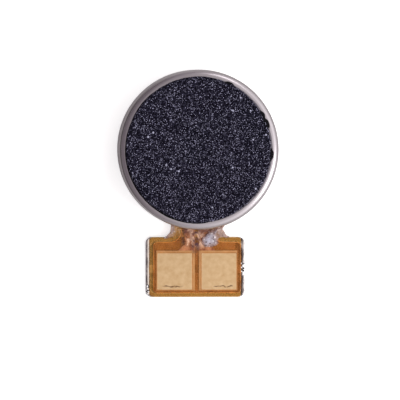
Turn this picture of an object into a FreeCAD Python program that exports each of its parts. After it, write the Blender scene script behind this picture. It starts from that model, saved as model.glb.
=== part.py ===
"""A coin vibration motor: a drawn steel can holding a brushed, off-balance rotor, with a foam pad on
top and a flexible circuit whose stiffened tab carries two gold contact pads.

Millimetres, +Z up. The origin is on the rotor's axis at the can's flat underside, and the tab points
along -Y. Every piece is written to parts/NAME.step.
"""

import os

import FreeCAD, Part

from math import asin, atan2, cos, degrees, hypot, radians, sin

Vector = FreeCAD.Vector
UP = Vector(0, 0, 1)
ALONG_X = Vector(1, 0, 0)

# ---------------------------------------------------------------- driving dimensions, millimetres

# Can: a deep-drawn cover pressed over a flat base plate
can_diameter = 10.0
can_height = 3.0
can_wall = 0.20
can_corner_radius = 0.45
base_thickness = 0.20
exit_side_gap = 0.15            # cover notch to each edge of the circuit
exit_top_gap = 0.05             # cover notch above the circuit

# Fixed shaft and what runs on it
shaft_diameter = 0.80
shaft_running_gap = 0.015       # radial, shaft to bush
shaft_chamfer = 0.05
collar_wall = 0.30              # the base plate is drawn up round the shaft
collar_height = 0.60
washer_thickness = 0.08
washer_overhang = 0.05          # past the bush
washer_bore_gap = 0.01
axial_gap = 0.02                # washer to bush, and washer to cover
bush_wall = 0.385

# Flexible circuit: film, copper and coverlay
circuit_bond_thickness = 0.03
film_thickness = 0.05
copper_thickness = 0.03
coverlay_thickness = 0.04       # above the copper
coverlay_neck_margin = 0.30     # bare film outside the coverlay, at each edge
coverlay_left_margin = 0.27
coverlay_right_margin = 0.03
coverlay_top_margin = 0.33
coverlay_bottom_margin = 0.28
circuit_edge_gap = 0.20         # circuit disc to the inside of the cover
collar_clearance = 0.05         # circuit disc to the collar
trace_width = 0.65
trace_gap = 0.25                # between the two traces
trace_flare = 0.40              # where a trace widens into its pad
neck_width = 2.55
neck_length = 0.52
neck_flare_radius = 0.45

# Tab: two pads seen through windows in the coverlay
pad_width = 2.23
pad_height = 2.32
pad_gap = 0.56
pad_lap = 0.155                 # copper kept under the coverlay at a window's top and inner edges
pad_rim = 0.04                  # and at its bottom and outer edges
plating_thickness = 0.01        # gold on nickel, on the copper that shows in a window
plating_gap = 0.01              # plating to the window's sides
left_border = 0.48
right_border = 0.28
top_border = 1.00
bottom_border = 0.45
tab_corner_radius = 0.22

# Stiffener bonded under the tab, level with the can's underside
stiffener_bond_thickness = 0.05
stiffener_side_margin = 0.225   # past the circuit on each side
stiffener_corner_radius = 0.38

# Magnet ring bonded on the circuit disc
magnet_thickness = 0.65
magnet_side_gap = 0.50          # to the inside of the cover
magnet_bond_thickness = 0.03
magnet_bond_inset = 0.12
magnet_bore_gap = 0.12          # bore to the brush feet

# Brushes: two leaves of spring metal soldered inside the magnet's bore
brush_thickness = 0.06
brush_width = 0.55
brush_side_gap = 0.175          # inner edge to the washer's rim
brush_foot_length = 0.55
brush_pivot_y = -0.70
brush_fold_gap = 0.015          # foot to the rounded root of its arm
brush_arm_length = 1.10
brush_tip_radius = 0.15
brush_tip_turn = 75.0           # degrees
brush_slit_width = 0.09
brush_slit_start = 0.35         # along the arm, from its root
brush_contact_gap = 0.015       # crest of the tip to the commutator
solder_thickness = 0.06
solder_margin = 0.05

# Rotor
rotor_rest_angle = 90.0         # degrees, towards the middle of the coils; the counterweight is opposite
rotor_side_gap = 0.35
rotor_top_gap = 0.25
air_gap = 0.17                  # magnet to the rotor's circuit board
board_thickness = 0.12
board_bush_gap = 0.01
segment_count = 6
segment_thickness = 0.03
segment_gap = 0.14
commutator_margin = 0.10        # past the brush track on each side
hub_wall = 0.40                 # holder round the bush
coil_hub_gap = 0.25
coil_rim = 0.20                 # holder outside the coils
coil_spread = 47.0              # degrees, coil centre to the rotor's own centre line
coil_half_angle = 43.0          # degrees
coil_side_inset = 0.12
coil_winding_width = 0.72
coil_corner_radius = 0.25
holder_recess = 0.15            # below the counterweight's top
holder_skin = 0.08              # over the coils
holder_half_angle = 92.0        # degrees
weight_half_angle = 82.0        # degrees
terminal_radius = 0.13
terminal_height = 0.07

# Foam pad stuck on the cover
foam_radius_inset = 0.42        # in from the can's side
foam_thickness = 0.30
foam_bond_thickness = 0.05
foam_bond_inset = 0.05

# Clear glue that seals the circuit's exit
glue_side_reach = 0.35          # past each edge of the neck
glue_lap = 0.20                 # onto the neck, over and under its edges
glue_bead_height = 0.06         # above the circuit
glue_drop_length = 1.06         # the drop that runs over the right of the neck, along Y
glue_drop_width = 1.10
glue_drop_height = 0.14         # above the circuit
glue_drop_reach = 0.65          # onto the tab

# ---------------------------------------------------------------- places worked out from them

can_radius = can_diameter / 2
cover_inner_radius = can_radius - can_wall
cover_inner_top = can_height - can_wall
foam_bottom = can_height + foam_bond_thickness
shaft_radius = shaft_diameter / 2

circuit_bottom = base_thickness + circuit_bond_thickness
copper_bottom = circuit_bottom + film_thickness
copper_top = copper_bottom + copper_thickness
plating_top = copper_top + plating_thickness
circuit_top = copper_top + coverlay_thickness
circuit_disc_radius = cover_inner_radius - circuit_edge_gap

collar_radius = shaft_radius + collar_wall
collar_top = base_thickness + collar_height
bush_radius = shaft_radius + shaft_running_gap + bush_wall
washer_radius = bush_radius + washer_overhang
bush_bottom = collar_top + washer_thickness + axial_gap
bush_top = cover_inner_top - washer_thickness - 2 * axial_gap

brush_inner_x = washer_radius + brush_side_gap
brush_outer_x = brush_inner_x + brush_width
foot_bottom = copper_top + solder_thickness
foot_end_y = brush_pivot_y - brush_thickness / 2 - brush_fold_gap
foot_far_y = foot_end_y - brush_foot_length

magnet_bottom = circuit_top + magnet_bond_thickness
magnet_top = magnet_bottom + magnet_thickness
magnet_radius = cover_inner_radius - magnet_side_gap
magnet_bore_radius = hypot(brush_outer_x + solder_margin, foot_far_y - solder_margin) + magnet_bore_gap

board_bottom = magnet_top + air_gap
board_top = board_bottom + board_thickness
rotor_radius = cover_inner_radius - rotor_side_gap
rotor_top = cover_inner_top - rotor_top_gap
holder_top = rotor_top - holder_recess
coil_top = holder_top - holder_skin
hub_radius = bush_radius + hub_wall
coil_inner_radius = hub_radius + coil_hub_gap
coil_outer_radius = rotor_radius - coil_rim
commutator_inner_radius = brush_inner_x - commutator_margin
commutator_outer_radius = brush_outer_x + commutator_margin
board_hub_radius = commutator_outer_radius + commutator_margin

tab_width = left_border + 2 * pad_width + pad_gap + right_border
tab_height = top_border + pad_height + bottom_border
tab_left = -pad_gap / 2 - pad_width - left_border
tab_right = tab_left + tab_width
tab_top_y = -can_radius - neck_length
tab_bottom_y = tab_top_y - tab_height
pad_top_y = tab_top_y - top_border
pad_bottom_y = pad_top_y - pad_height
hinge_y = -can_radius - neck_length / 2
hinge_z = (circuit_bottom + circuit_top) / 2
stiffener_thickness = circuit_bottom - stiffener_bond_thickness
sides = {"left": -1, "right": 1}


# ---------------------------------------------------------------- helpers


def ring(outer_radius, inner_radius, bottom, top):
    """A flat ring about the Z axis, or a disc if inner_radius is 0."""
    solid = Part.makeCylinder(outer_radius, top - bottom, Vector(0, 0, bottom), UP)
    if inner_radius > 0:
        solid = solid.cut(Part.makeCylinder(inner_radius, top - bottom, Vector(0, 0, bottom), UP))
    return solid


def block(x0, x1, y0, y1, z0, z1):
    """A box between two corners."""
    return Part.makeBox(x1 - x0, y1 - y0, z1 - z0, Vector(x0, y0, z0))


def rounded_block(x0, x1, y0, y1, z0, z1, radius):
    """A box with its four upright edges rounded."""
    solid = block(x0, x1, y0, y1, z0, z1)
    upright = [e for e in solid.Edges if abs(e.tangentAt(e.FirstParameter).z) > 0.9]
    return solid.makeFillet(radius, upright)


def polar(radius, angle):
    """The point at this radius and angle, in degrees, in the XY plane."""
    return Vector(radius * cos(radians(angle)), radius * sin(radians(angle)), 0)


def arc(radius, start, end):
    """An edge along a circle about the origin, between two angles in degrees."""
    return Part.Arc(polar(radius, start), polar(radius, (start + end) / 2), polar(radius, end)).toShape()


def fan(inner_radius, outer_radius, half_angle, side_inset, bottom, top, centre):
    """A sector of a ring whose two sides lie side_inset inside the rays at half_angle each way."""
    inner = half_angle - degrees(asin(side_inset / inner_radius))
    outer = half_angle - degrees(asin(side_inset / outer_radius))
    edges = [
        arc(inner_radius, centre - inner, centre + inner),
        Part.makeLine(polar(inner_radius, centre + inner), polar(outer_radius, centre + outer)),
        arc(outer_radius, centre + outer, centre - outer),
        Part.makeLine(polar(outer_radius, centre - outer), polar(inner_radius, centre - inner)),
    ]
    face = Part.Face(Part.Wire(edges))
    face.translate(Vector(0, 0, bottom))
    return face.extrude(Vector(0, 0, top - bottom))


def soften(solid, radius):
    """The same solid with its upright straight edges rounded."""
    upright = [
        e
        for e in solid.Edges
        if isinstance(e.Curve, Part.Line) and abs(e.tangentAt(e.FirstParameter).z) > 0.9
    ]
    return solid.makeFillet(radius, upright)


# ---------------------------------------------------------------- can and shaft


def exit_notch(side_gap, top):
    """The room in the cover's wall where the circuit leaves."""
    half = neck_width / 2 + side_gap
    return block(-half, half, -can_radius - can_wall, -cover_inner_radius / 2, -can_wall, top)


def make_cover():
    outer = ring(can_radius, 0, 0, can_height)
    outer = outer.makeFillet(can_corner_radius, [e for e in outer.Edges if e.BoundBox.ZMin > can_height / 2])
    inner = ring(cover_inner_radius, 0, -can_wall, cover_inner_top)
    inner_corner = max(can_corner_radius - can_wall, can_wall / 4)
    inner = inner.makeFillet(inner_corner, [e for e in inner.Edges if e.BoundBox.ZMin > cover_inner_top / 2])
    shell = outer.cut(inner).cut(exit_notch(exit_side_gap, circuit_top + exit_top_gap))
    return shell.cut(ring(shaft_radius, 0, 0, 2 * can_height))


def make_base_plate():
    """A disc inside the cover, a tongue under the circuit's exit and a collar round the shaft."""
    tongue = exit_notch(0, base_thickness).common(ring(can_radius, 0, 0, base_thickness))
    plate = ring(cover_inner_radius, 0, 0, base_thickness).fuse(tongue)
    plate = plate.fuse(ring(collar_radius, 0, 0, collar_top))
    return plate.cut(ring(shaft_radius, 0, 0, collar_top)).removeSplitter()


def make_shaft():
    shaft = ring(shaft_radius, 0, 0, can_height)
    return shaft.makeChamfer(shaft_chamfer, [e for e in shaft.Edges if isinstance(e.Curve, Part.Circle)])


def make_washer(bottom):
    return ring(washer_radius, shaft_radius + washer_bore_gap, bottom, bottom + washer_thickness)


# ---------------------------------------------------------------- flexible circuit


def circuit_disc(bottom, top, edge_inset=0.0):
    """The part of the circuit inside the can, and its lead out through the notch."""
    disc = ring(circuit_disc_radius - edge_inset, 0, bottom, top)
    half = neck_width / 2 - edge_inset
    lead = block(-half, half, -can_radius, 0, bottom, top)
    return disc.fuse(lead).cut(ring(collar_radius + collar_clearance, 0, bottom, top)).removeSplitter()


def flared_strip(half, flare, y0, y1, bottom, top):
    """A strip along Y that flares at both sides to meet a wider piece at its end y0."""
    strip = block(-half, half, y0, y1, bottom, top)
    for side in sides.values():
        inner, outer = sorted([side * half, side * (half + flare)])
        corner = block(inner, outer, y0, y0 + flare, bottom, top)
        bite = Part.makeCylinder(flare, top - bottom, Vector(side * (half + flare), y0 + flare, bottom), UP)
        strip = strip.fuse(corner.cut(bite))
    return strip


def circuit_neck(bottom, top):
    """The free strip of film between the can and the tab."""
    flare = min(neck_flare_radius, neck_length)
    return flared_strip(neck_width / 2, flare, tab_top_y, -can_radius, bottom, top).removeSplitter()


def circuit_tab(bottom, top):
    """The film under the pads."""
    return rounded_block(tab_left, tab_right, tab_bottom_y, tab_top_y, bottom, top, tab_corner_radius)


def coverlay_sheet():
    """The coverlay outside the can, in one piece and solid through the copper's depth."""
    half = neck_width / 2 - coverlay_neck_margin
    y0 = tab_top_y - coverlay_top_margin
    flare = min(neck_flare_radius + coverlay_neck_margin, neck_length + coverlay_top_margin)
    wide = rounded_block(
        tab_left + coverlay_left_margin,
        tab_right - coverlay_right_margin,
        tab_bottom_y + coverlay_bottom_margin,
        y0,
        copper_bottom,
        circuit_top,
        tab_corner_radius,
    )
    return flared_strip(half, flare, y0, -can_radius, copper_bottom, circuit_top).fuse(wide)


def coverlay_stretch(y0, y1):
    """The part of the coverlay sheet between two places along Y."""
    return coverlay_sheet().common(block(-2 * can_radius, 2 * can_radius, y0, y1, 0, can_height))


def trace_strip(side, y0, y1):
    """One trace running along Y, on the left or the right of the gap between the two."""
    inner, outer = sorted([side * trace_gap / 2, side * (trace_gap / 2 + trace_width)])
    return block(inner, outer, y0, y1, copper_bottom, copper_top)


def make_inner_trace(side):
    """From a brush's solder land, round the collar and out to the can's edge."""
    land = block(
        *sorted([side * (brush_inner_x - solder_margin), side * (brush_outer_x + solder_margin)]),
        foot_far_y - solder_margin,
        foot_end_y + solder_margin,
        copper_bottom,
        copper_top,
    )
    lead = trace_strip(side, -can_radius, foot_far_y + solder_margin)
    link = block(
        *sorted([side * trace_gap / 2, side * (brush_outer_x + solder_margin)]),
        foot_far_y - solder_margin,
        foot_far_y + 2 * solder_margin,
        copper_bottom,
        copper_top,
    )
    return land.fuse([lead, link]).removeSplitter()


def brush_window(side):
    """The opening in the coverlay over a brush's solder land."""
    return block(
        *sorted([side * (brush_inner_x - solder_margin / 2), side * (brush_outer_x + solder_margin / 2)]),
        foot_far_y - solder_margin / 2,
        foot_end_y + solder_margin / 2,
        copper_bottom,
        circuit_top,
    )


def make_tab_trace(side):
    """A trace from the neck, widened on its outer side where it joins its pad."""
    foot = pad_top_y + pad_lap
    outer = side * (trace_gap / 2 + trace_width)
    corners = [
        Vector(outer, foot, copper_bottom),
        Vector(outer + side * trace_flare, foot, copper_bottom),
        Vector(outer, foot + trace_flare, copper_bottom),
    ]
    flare = Part.Face(Part.makePolygon(corners + corners[:1])).extrude(UP * copper_thickness)
    return trace_strip(side, foot, tab_top_y).fuse(flare).removeSplitter()


def pad_block(side, outer_rim, inner_lap, bottom_rim, top_lap, bottom, top):
    """A pad's outline, grown by its own amount at each edge."""
    near, far = pad_gap / 2 - inner_lap, pad_gap / 2 + pad_width + outer_rim
    x0, x1 = sorted([side * near, side * far])
    return block(x0, x1, pad_bottom_y - bottom_rim, pad_top_y + top_lap, bottom, top)


def make_contact_pad(side):
    """A copper pad whose rim lies under the coverlay, with the plating on the face in the window."""
    copper = pad_block(side, pad_rim, pad_lap, pad_rim, pad_lap, copper_bottom, copper_top)
    gap = -plating_gap
    return copper.fuse(pad_block(side, gap, gap, gap, gap, copper_top, plating_top))


def pad_window(side):
    return pad_block(side, 0, 0, 0, 0, copper_top, circuit_top)


def make_stiffener(bottom, top, inset=0.0):
    return rounded_block(
        tab_left - stiffener_side_margin + inset,
        tab_right + stiffener_side_margin - inset,
        tab_bottom_y + inset,
        tab_top_y - inset,
        bottom,
        top,
        stiffener_corner_radius,
    )


# ---------------------------------------------------------------- magnet and brushes


def make_magnet_bond():
    return ring(
        magnet_radius - magnet_bond_inset, magnet_bore_radius + magnet_bond_inset, circuit_top, magnet_bottom
    )


def make_brush_foot(side):
    return block(
        *sorted([side * brush_inner_x, side * brush_outer_x]),
        foot_far_y,
        foot_end_y,
        foot_bottom,
        foot_bottom + brush_thickness,
    )


def make_brush_solder(side):
    return block(
        *sorted([side * brush_inner_x, side * brush_outer_x]), foot_far_y, foot_end_y, copper_top, foot_bottom
    )


def brush_slope():
    """The angle of the arm, in radians, that brings the crest of its tip up to the commutator."""
    pivot_z = foot_bottom + brush_thickness / 2
    crest_z = board_bottom - segment_thickness - brush_contact_gap
    rise = crest_z - pivot_z - brush_thickness / 2 - brush_tip_radius
    reach = hypot(brush_arm_length, brush_tip_radius)
    return atan2(brush_tip_radius, brush_arm_length) + asin(rise / reach)


def make_brush_arm(side):
    """A sloping leaf with a rounded root and a curled tip, slit into two fingers."""
    slope = brush_slope()
    half = brush_thickness / 2
    root = Vector(0, brush_pivot_y, foot_bottom + half)
    along = Vector(0, cos(slope), sin(slope))
    normal = Vector(0, -sin(slope), cos(slope))
    bend = root + along * brush_arm_length
    centre = bend - normal * brush_tip_radius

    def tip(radius, turn):
        return centre + (normal * cos(turn) + along * sin(turn)) * radius

    turn = radians(brush_tip_turn)
    outer, inner = brush_tip_radius + half, brush_tip_radius - half
    edges = [
        Part.makeLine(root + normal * half, bend + normal * half),
        Part.Arc(tip(outer, 0), tip(outer, turn / 2), tip(outer, turn)).toShape(),
        Part.makeLine(tip(outer, turn), tip(inner, turn)),
        Part.Arc(tip(inner, turn), tip(inner, turn / 2), tip(inner, 0)).toShape(),
        Part.makeLine(bend - normal * half, root - normal * half),
        Part.Arc(root - normal * half, root - along * half, root + normal * half).toShape(),
    ]
    start = min(side * brush_inner_x, side * brush_outer_x)
    face = Part.Face(Part.Wire(edges))
    face.translate(ALONG_X * start)
    leaf = face.extrude(ALONG_X * brush_width)
    middle = side * (brush_inner_x + brush_outer_x) / 2
    slit_y = brush_pivot_y + brush_slit_start * cos(slope)
    slit_half = brush_slit_width / 2
    return leaf.cut(
        block(middle - slit_half, middle + slit_half, slit_y, slit_y + 2 * brush_arm_length, 0, can_height)
    )


# ---------------------------------------------------------------- rotor

coil_centres = {"left": rotor_rest_angle + coil_spread, "right": rotor_rest_angle - coil_spread}


def make_coil(centre):
    """One wound fan-shaped coil."""
    outside = fan(
        coil_inner_radius, coil_outer_radius, coil_half_angle, coil_side_inset, board_top, coil_top, centre
    )
    return soften(outside, coil_corner_radius).cut(make_coil_core(centre))


def make_coil_core(centre):
    """The holder's post inside a coil."""
    return fan(
        coil_inner_radius + coil_winding_width,
        coil_outer_radius - coil_winding_width,
        coil_half_angle,
        coil_side_inset + coil_winding_width,
        board_top,
        coil_top,
        centre,
    )


def make_bush():
    return ring(bush_radius, shaft_radius + shaft_running_gap, bush_bottom, bush_top)


def make_board():
    """A ring under the hub and a half disc under the coils."""
    disc = ring(board_hub_radius, 0, board_bottom, board_top)
    half = fan(hub_radius, rotor_radius, holder_half_angle, 0, board_bottom, board_top, rotor_rest_angle)
    bore = ring(bush_radius + board_bush_gap, 0, board_bottom, board_top)
    return disc.fuse(half).cut(bore).removeSplitter()


def make_commutator():
    """Flat segments under the board, with an even gap between neighbours."""
    segments = []
    for index in range(segment_count):
        segments.append(
            fan(
                commutator_inner_radius,
                commutator_outer_radius,
                180 / segment_count,
                segment_gap / 2,
                board_bottom - segment_thickness,
                board_bottom,
                index * 360 / segment_count,
            )
        )
    return segments


def make_terminals():
    """Soldered coil ends under the board, two for each coil."""
    radius = board_hub_radius + terminal_radius
    domes = []
    for centre in coil_centres.values():
        for turn in (-coil_half_angle / 2, coil_half_angle / 2):
            place = polar(radius, centre + turn) + UP * (board_bottom - terminal_height)
            domes.append(Part.makeCone(terminal_radius / 2, terminal_radius, terminal_height, place, UP))
    return domes


def make_holder():
    """The moulded resin that carries the bush and the counterweight, and holds the coils under a skin."""
    hub = ring(hub_radius, 0, board_top, holder_top)
    half = fan(hub_radius, rotor_radius, holder_half_angle, 0, board_top, holder_top, rotor_rest_angle)
    body = hub.fuse(half).cut(ring(bush_radius, 0, board_top, holder_top))
    for centre in coil_centres.values():
        body = body.cut(make_coil(centre))
    return body.removeSplitter()


def make_counterweight():
    return fan(
        hub_radius, rotor_radius, weight_half_angle, 0, board_top, rotor_top, rotor_rest_angle + 180
    )


# ---------------------------------------------------------------- foam and glue


def make_foam(bottom, top, inset=0.0):
    return ring(can_radius - foam_radius_inset - inset, 0, bottom, top)


def glue_bead(side):
    """Glue in the corner between the can's side and one edge of the neck."""
    half = neck_width / 2
    reach = half + glue_side_reach
    inner, outer = sorted([side * (half - glue_lap), side * (reach + neck_length)])
    top = circuit_top + glue_bead_height
    bead = block(inner, outer, tab_top_y, tab_top_y / 2, stiffener_thickness / 2, top)
    bite = Part.makeCylinder(
        neck_length, can_height, Vector(side * (reach + neck_length), tab_top_y + neck_length, 0), UP
    )
    beyond = block(*sorted([side * reach, side * can_radius]), tab_top_y + neck_length, 0, 0, can_height)
    return bead.cut(bite.fuse(beyond))


def glue_drop():
    """The thicker drop that runs over the right of the neck and onto the tab."""
    shape = FreeCAD.Matrix()
    shape.scale(Vector(glue_drop_width / 2, glue_drop_length / 2, glue_drop_height))
    drop = Part.makeSphere(1.0).transformGeometry(shape)
    middle_x = neck_width / 2 - glue_drop_width / 2 + glue_drop_width / 20
    middle_y = tab_top_y - glue_drop_reach + glue_drop_length / 2
    drop.translate(Vector(middle_x, middle_y, circuit_top))
    return drop.common(block(-can_radius, can_radius, -2 * can_radius, 0, copper_bottom, can_height))


def make_glue(side):
    glue = glue_bead(side)
    if side == sides["right"]:
        glue = glue.fuse(glue_drop())
    neighbours = [
        ring(can_radius, 0, 0, can_height),
        circuit_disc(base_thickness, copper_bottom),
        circuit_disc(copper_bottom, circuit_top, coverlay_neck_margin),
        circuit_neck(circuit_bottom, copper_bottom),
        circuit_tab(circuit_bottom, copper_bottom),
        coverlay_sheet(),
    ]
    return glue.cut(neighbours)


# ---------------------------------------------------------------- the assembly


def make_pieces():
    """Each node's name and its solid, or its list of separate solids."""
    inner_traces = [make_inner_trace(side) for side in sides.values()]
    neck_traces = [trace_strip(side, tab_top_y, -can_radius) for side in sides.values()]
    tab_traces = [make_tab_trace(side) for side in sides.values()]
    pads = [make_contact_pad(side) for side in sides.values()]

    inner_coverlay = circuit_disc(copper_bottom, circuit_top, coverlay_neck_margin).cut(inner_traces)
    inner_coverlay = inner_coverlay.cut([brush_window(side) for side in sides.values()])
    neck_coverlay = coverlay_stretch(tab_top_y, -can_radius).cut(neck_traces)
    tab_coverlay = coverlay_stretch(tab_bottom_y, tab_top_y).cut(tab_traces + pads)
    tab_coverlay = tab_coverlay.cut([pad_window(side) for side in sides.values()])

    pieces = {
        "cover": make_cover(),
        "base_plate": make_base_plate(),
        "shaft": make_shaft(),
        "lower_washer": make_washer(collar_top),
        "upper_washer": make_washer(bush_top + axial_gap),
        "circuit_adhesive": circuit_disc(base_thickness, circuit_bottom, circuit_edge_gap / 2),
        "circuit_film_inner": circuit_disc(circuit_bottom, copper_bottom),
        "circuit_traces_inner": inner_traces,
        "circuit_coverlay_inner": inner_coverlay,
        "circuit_film_neck": circuit_neck(circuit_bottom, copper_bottom),
        "circuit_traces_neck": neck_traces,
        "circuit_coverlay_neck": neck_coverlay,
        "circuit_film_tab": circuit_tab(circuit_bottom, copper_bottom),
        "circuit_traces_tab": tab_traces,
        "circuit_coverlay_tab": tab_coverlay,
        "contact_pad_left": pads[0],
        "contact_pad_right": pads[1],
        "stiffener_adhesive": make_stiffener(stiffener_thickness, circuit_bottom, stiffener_side_margin),
        "stiffener_plate": make_stiffener(0, stiffener_thickness),
        "magnet_adhesive": make_magnet_bond(),
        "ring_magnet": ring(magnet_radius, magnet_bore_radius, magnet_bottom, magnet_top),
        "bearing_bush": make_bush(),
        "rotor_board": make_board(),
        "commutator_segments": make_commutator(),
        "coil_terminals": make_terminals(),
        "rotor_holder": make_holder(),
        "counterweight": make_counterweight(),
        "foam_adhesive": make_foam(can_height, foam_bottom, foam_bond_inset),
        "foam_pad": make_foam(foam_bottom, foam_bottom + foam_thickness),
    }
    for name, side in sides.items():
        pieces["brush_foot_" + name] = make_brush_foot(side)
        pieces["brush_arm_" + name] = make_brush_arm(side)
        pieces["brush_solder_" + name] = make_brush_solder(side)
        pieces["coil_" + name] = make_coil(coil_centres[name])
        pieces["neck_glue_" + name] = make_glue(side)
    return pieces


def write_pieces(pieces):
    os.makedirs("parts", exist_ok=True)
    for name, made in pieces.items():
        solids = []
        for shape in made if isinstance(made, list) else [made]:
            solids += shape.Solids
        whole = solids[0] if len(solids) == 1 else Part.makeCompound(solids)
        whole.exportStep(f"parts/{name}.step")
        volume = sum(solid.Volume for solid in solids)
        print(f"{name}: {len(solids)} solid(s), {volume:.4f} mm3, valid {whole.isValid()}")


write_pieces(make_pieces())
print(f"circuit bends about y {hinge_y:.4f}, z {hinge_z:.4f}")
print(f"brush arms bend about y {brush_pivot_y:.4f}, z {foot_bottom + brush_thickness / 2:.4f}")
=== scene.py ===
# %% [markdown]
# # A coin vibration motor, piece by piece
#
# The motor is a steel can 10 mm across and 3 mm high. A foam disc is stuck on its top, and a thin amber
# circuit leaves its foot and ends in a tab with two gold contact pads. The sizes are already fixed by
# the CAD model, so this lesson only gives the pieces finer shapes and real finishes. Everything is
# worked out in millimetres and scaled to metres at the end, because the numbers read like a drawing.

# %% Load the fixed frame
import math

import bmesh
import bpy
from mathutils import Matrix, Vector, noise


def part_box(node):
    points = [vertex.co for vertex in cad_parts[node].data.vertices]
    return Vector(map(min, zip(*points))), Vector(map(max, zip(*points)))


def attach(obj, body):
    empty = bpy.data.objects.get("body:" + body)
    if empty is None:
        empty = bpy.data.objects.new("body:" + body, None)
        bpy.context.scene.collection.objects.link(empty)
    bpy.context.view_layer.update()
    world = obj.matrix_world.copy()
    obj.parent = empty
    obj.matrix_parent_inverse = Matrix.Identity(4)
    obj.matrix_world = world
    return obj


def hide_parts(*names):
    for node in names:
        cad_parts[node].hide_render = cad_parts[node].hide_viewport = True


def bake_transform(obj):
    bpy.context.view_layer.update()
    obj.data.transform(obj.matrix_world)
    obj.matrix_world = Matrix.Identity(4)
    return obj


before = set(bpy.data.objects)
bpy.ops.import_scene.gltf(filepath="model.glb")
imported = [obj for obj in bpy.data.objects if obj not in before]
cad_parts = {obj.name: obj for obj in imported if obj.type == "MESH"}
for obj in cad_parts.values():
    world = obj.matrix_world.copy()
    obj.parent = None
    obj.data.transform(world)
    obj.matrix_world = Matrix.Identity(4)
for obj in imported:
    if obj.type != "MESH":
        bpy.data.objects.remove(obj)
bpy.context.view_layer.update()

MM = 0.001
scene = bpy.context.scene

# %% [markdown]
# ## Camera
#
# The motor is seen almost straight from above, with its tab towards the bottom of the frame. A long
# lens far away keeps the view nearly parallel, as a macro lens does. The camera leans 3 degrees to the
# left and 1 degree to the back, which shows a little more of the can's left and back shoulder.

# %% Camera
frame_width = 25.16
camera_distance = 350.0
lean_left, lean_back = math.radians(3.1), math.radians(1.2)
camera_data = bpy.data.cameras.new("camera")
camera_data.sensor_width = 36.0
camera_data.lens = camera_data.sensor_width * camera_distance / frame_width
camera_data.clip_start, camera_data.clip_end = 0.01, 10.0
camera = bpy.data.objects.new("camera", camera_data)
scene.collection.objects.link(camera)
aim = Vector((0.214, -3.195, 0.0))
back = Vector((-math.sin(lean_left), math.sin(lean_back), 1.0)).normalized()
up = (Vector((0, 1, 0)) - back * back.y).normalized()
turned_to_aim = Matrix((up.cross(back), up, back)).transposed().to_4x4()
camera.matrix_world = Matrix.Translation((aim + back * camera_distance) * MM) @ turned_to_aim
scene.camera = camera
scene.view_settings.view_transform = "Standard"
print("lens", round(camera_data.lens), "mm")

# %% [markdown]
# ## Colour and node helpers
#
# Colours are written as the hex values that a screen shows, and one function turns them into the linear
# values that a shader needs. One small function adds any node with its settings and links, so every
# material reads as a list of what it is made of.

# %% Helpers for nodes
def paint(hex_code):
    """A screen colour such as #C08040 as linear red, green, blue and alpha."""
    channels = [int(hex_code[i : i + 2], 16) / 255 for i in (1, 3, 5)]
    return (*(c / 12.92 if c <= 0.04045 else ((c + 0.055) / 1.055) ** 2.4 for c in channels), 1.0)


def add(tree, kind, sockets=None, **settings):
    """Adds a node, sets it up, and gives each named socket a value or a link.

    A link is given as a socket, or as a node when its first output is meant.
    """
    node = tree.nodes.new(kind)
    for name, value in settings.items():
        setattr(node, name, value)
    for name, value in (sockets or {}).items():
        if isinstance(value, bpy.types.Node):
            value = value.outputs[0]
        if isinstance(value, bpy.types.NodeSocket):
            tree.links.new(value, node.inputs[name])
        else:
            node.inputs[name].default_value = value
    return node


def ramp(node, stops):
    """Sets the colours along a Color Ramp, as pairs of place and hex colour."""
    elements = node.color_ramp.elements
    while len(elements) > 1:
        elements.remove(elements[-1])
    elements[0].position, elements[0].color = stops[0][0], paint(stops[0][1])
    for place, colour in stops[1:]:
        elements.new(place).color = paint(colour)
    return node.outputs["Color"]


print("amber #D2904E as linear values:", [round(c, 3) for c in paint("#D2904E")[:3]])


# %% [markdown]
# ## Floor and studio light
#
# The motor lies on a white sheet in a light tent: very even light, with one side brighter. The sheet is
# pale, and only the camera sees it lifted to pure white, so that it doesn't flood the metal from below.
# The tent is the world's own colour, dim on the left and bright on the right, because the can's
# shoulder mirrors it all the way round. Two lamps give the shoulder its bright right side.

# %% Floor
floor_mesh = bpy.data.meshes.new("floor")
floor_mesh.from_pydata([(-1, -1, 0), (1, -1, 0), (1, 1, 0), (-1, 1, 0)], [], [(0, 1, 2, 3)])
floor = bpy.data.objects.new("floor", floor_mesh)
scene.collection.objects.link(floor)
floor_paint = bpy.data.materials.new("white_paper_sheet")
floor_paint.use_nodes = True
paper = floor_paint.node_tree
sheet = paper.nodes["Principled BSDF"].inputs
sheet["Base Color"].default_value = paint("#D2D1CF")
sheet["Roughness"].default_value = 0.9
sheet["Emission Color"].default_value = paint("#FFFFFF")
to_camera = add(paper, "ShaderNodeLightPath").outputs["Is Camera Ray"]
lift = add(paper, "ShaderNodeMath", {0: to_camera, 1: 0.62}, operation="MULTIPLY")
paper.links.new(lift.outputs[0], sheet["Emission Strength"])
floor_mesh.materials.append(floor_paint)
print("floor 2 m square at z 0")

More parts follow.
